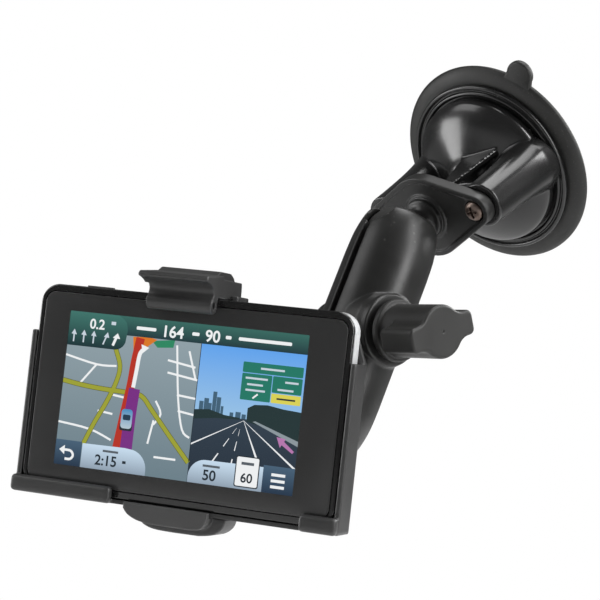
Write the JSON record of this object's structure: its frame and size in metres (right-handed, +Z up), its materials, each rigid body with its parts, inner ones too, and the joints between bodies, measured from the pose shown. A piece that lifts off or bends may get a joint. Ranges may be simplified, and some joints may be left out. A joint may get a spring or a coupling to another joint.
{
  "type": "portable gps navigator",
  "caption": "Slim colour-screen satellite navigator in a snap-in cradle, carried by a clamped double-ball arm on a twist-lock suction cup.",
  "frame": {"origin": "centre of the suction cup's flat working face, where it sits on the windscreen", "axes": "+Z up, the navigator's height; -Y out of the screen towards the driver; +X to the driver's right along the screen"},
  "size_m": [0.1787, 0.1528, 0.1903],
  "materials": {
    "cup_rubber": "soft black rubber, faint mould flow and dust",
    "cup_plastic": "glossy black moulded plastic with fine scratches",
    "ball_rubber": "matt black over-moulded rubber",
    "arm_coating": "satin black powder coat on die-cast aluminium, edges rubbed",
    "knob_plastic": "satin black glass-filled plastic, fine spark texture",
    "steel": "plain turned steel",
    "screw_steel": "stainless screw, warm tint in the recess",
    "spring_steel": "drawn spring wire",
    "brass": "machined brass",
    "cradle_plastic": "satin black moulded plastic, soft highlights on the edges",
    "chin_plastic": "satin dark grey moulded plastic, plain face",
    "screen_glass": "anti-glare touch glass with a dark border over a lit map",
    "bezel_plastic": "piano-black bezel",
    "silver_plastic": "silver-grey painted plastic",
    "display_panel": "display module with a metal back",
    "circuit_board": "green solder mask with a metal can",
    "battery_wrap": "shrink-wrapped lithium cell",
    "speaker_plastic": "black speaker frame",
    "antenna_ceramic": "ceramic antenna block",
    "card_plastic": "black memory card",
    "key_plastic": "satin black key"
  },
  "bodies": {
    "suction_base": {"suction_membrane": "cup_rubber", "pressure_flange": "cup_plastic", "return_spring": "spring_steel"},
    "plunger": {"plunger": "cup_plastic", "plunger_pin": "steel"},
    "twist_lock": {"twist_lock_body": "cup_plastic", "upper_ball_adapter": "arm_coating", "upper_screw_left": "screw_steel", "upper_screw_right": "screw_steel"},
    "upper_ball": {"upper_ball": "ball_rubber"},
    "arm": {"arm_half_rear": "arm_coating", "clamp_bolt": "steel", "arm_spring": "spring_steel"},
    "front_jaw": {"arm_half_front": "arm_coating", "thrust_washer": "steel"},
    "knob": {"clamp_knob": "knob_plastic", "knob_insert": "brass"},
    "lower_ball": {"lower_ball": "ball_rubber"},
    "cradle": {"lower_ball_adapter": "arm_coating", "lower_screw_bottom": "screw_steel", "lower_screw_top": "screw_steel", "lock_nut_bottom": "steel", "lock_nut_top": "steel", "cradle_shell": "cradle_plastic", "cradle_chin": "chin_plastic", "latch_pin": "steel", "latch_spring": "spring_steel", "touch_glass": "screen_glass", "front_bezel": "bezel_plastic", "rear_housing": "silver_plastic", "display_module": "display_panel", "main_board": "circuit_board", "battery": "battery_wrap", "speaker": "speaker_plastic", "antenna_patch": "antenna_ceramic", "charging_socket": "steel", "card_cage": "steel"},
    "latch": {"latch": "cradle_plastic"},
    "memory_card": {"memory_card": "card_plastic"},
    "power_key": {"power_key": "key_plastic"}
  },
  "joints": [
    {"name": "twist_lock", "type": "hinge", "parent": "suction_base", "child": "twist_lock", "pos_m": [0, 0, 0], "axis": [-0.3174, -0.7643, -0.5614], "range_deg": [0, 90]},
    {"name": "plunger_draw", "type": "slide", "parent": "suction_base", "child": "plunger", "axis": [-0.3174, -0.7643, -0.5614], "range_m": [-0.0022, 0]},
    {"name": "upper_ball_swivel", "type": "hinge", "parent": "twist_lock", "child": "upper_ball", "pos_m": [-0.02209, -0.05319, -0.03907], "axis": [-0.3174, -0.7643, -0.5614], "continuous": true},
    {"name": "upper_ball_swing", "type": "hinge", "parent": "upper_ball", "child": "arm", "pos_m": [-0.02209, -0.05319, -0.03907], "axis": [0.8511, -0.5234, 0.0409], "range_deg": [-20, 20]},
    {"name": "jaw_open", "type": "slide", "parent": "arm", "child": "front_jaw", "axis": [0.8511, -0.5234, 0.0409], "range_m": [0, 0.0012]},
    {"name": "knob_turn", "type": "hinge", "parent": "front_jaw", "child": "knob", "pos_m": [-0.02786, -0.06534, -0.07444], "axis": [0.8511, -0.5234, 0.0409], "range_deg": [0, 340]},
    {"name": "lower_ball_swing", "type": "hinge", "parent": "arm", "child": "lower_ball", "pos_m": [-0.03363, -0.07749, -0.10982], "axis": [0.8511, -0.5234, 0.0409], "range_deg": [-12, 20]},
    {"name": "lower_ball_swivel", "type": "hinge", "parent": "lower_ball", "child": "cradle", "pos_m": [-0.03363, -0.07749, -0.10982], "axis": [0, -1, 0], "range_deg": [-5, 90]},
    {"name": "latch_release", "type": "hinge", "parent": "cradle", "child": "latch", "pos_m": [-0.07568, -0.09685, -0.07138], "axis": [-1, 0, 0], "range_deg": [0, 25], "stiffness_Nm_per_rad": 0.5, "springref_deg": -14.32},
    {"name": "memory_card_slide", "type": "slide", "parent": "cradle", "child": "memory_card", "axis": [0, 0, 1], "range_m": [0, 0.012]},
    {"name": "power_key_press", "type": "slide", "parent": "cradle", "child": "power_key", "axis": [0, 0, -1], "range_m": [0, 0.0006], "stiffness_N_per_m": 1800, "springref_m": -0.0004}
  ],
  "couplings": [
    {"joint": "plunger_draw", "follows": "twist_lock", "m_per_rad": -0.0014},
    {"joint": "knob_turn", "follows": "jaw_open", "rad_per_m": 4945.6}
  ]
}
